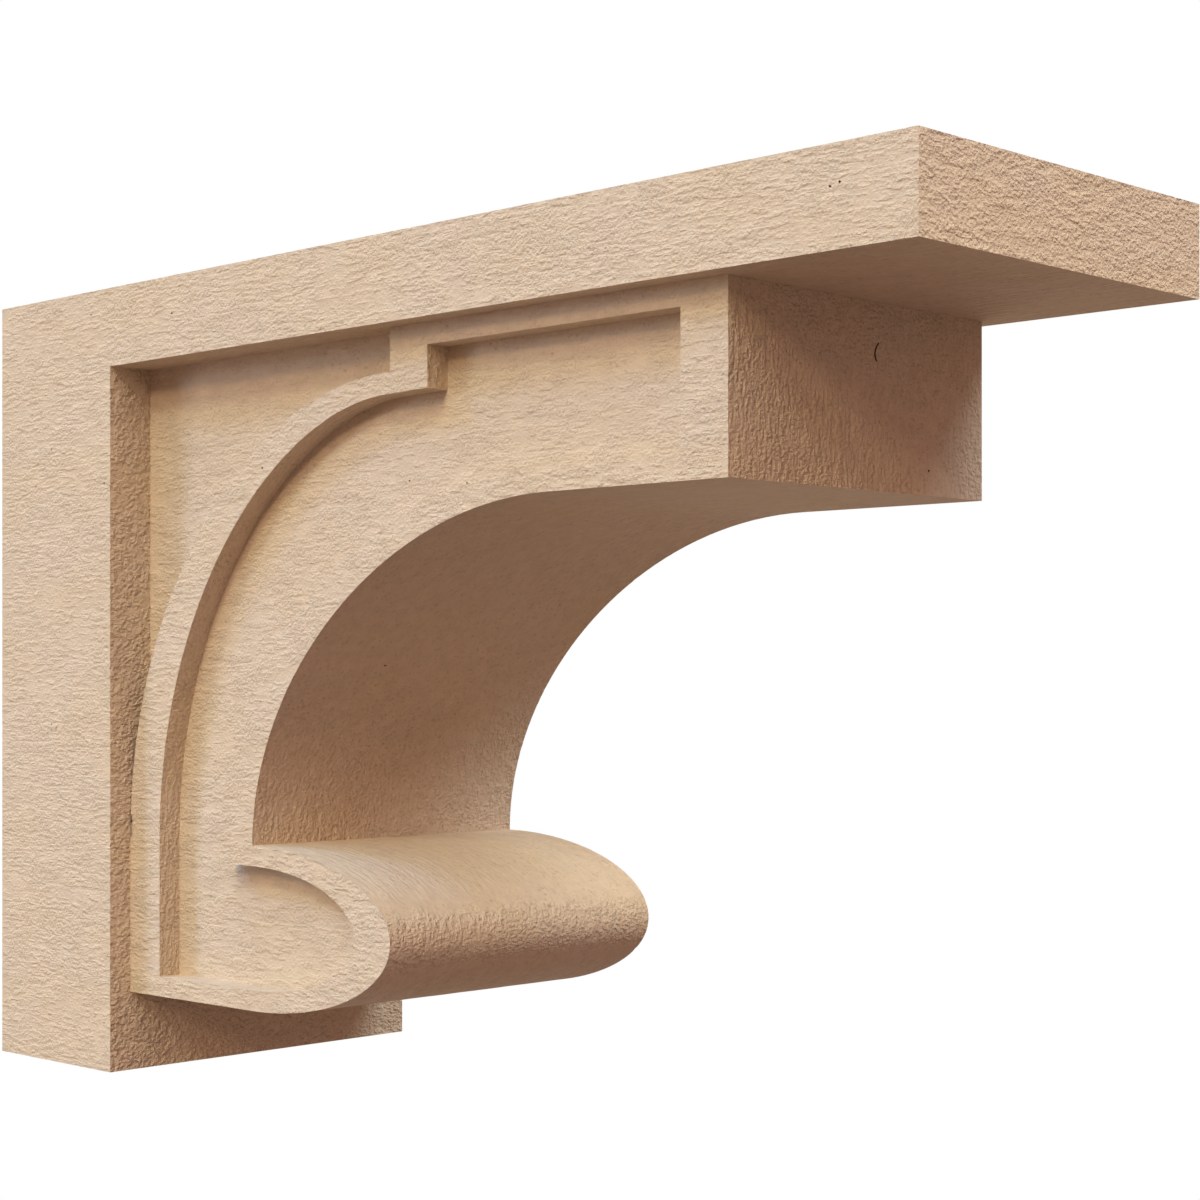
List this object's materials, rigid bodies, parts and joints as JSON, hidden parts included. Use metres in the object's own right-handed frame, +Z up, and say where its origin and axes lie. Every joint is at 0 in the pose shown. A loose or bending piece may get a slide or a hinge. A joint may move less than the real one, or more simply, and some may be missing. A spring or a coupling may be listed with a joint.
{
  "type": "corbel",
  "caption": "Long low corbel with a thick wall slab, thin top slab, arched band, sunk side panel, deep cove and rounded nose, in rough-sawn wood.",
  "frame": {"origin": "middle of the flat back face that lies on the wall", "axes": "+X out from the wall, +Y along the wall, +Z up"},
  "size_m": [0.4572, 0.1524, 0.3048],
  "materials": {
    "rough_sawn_wood": "unfinished rough-sawn light tan, matt"
  },
  "bodies": {
    "root": {"corbel": "rough_sawn_wood"}
  },
  "joints": []
}
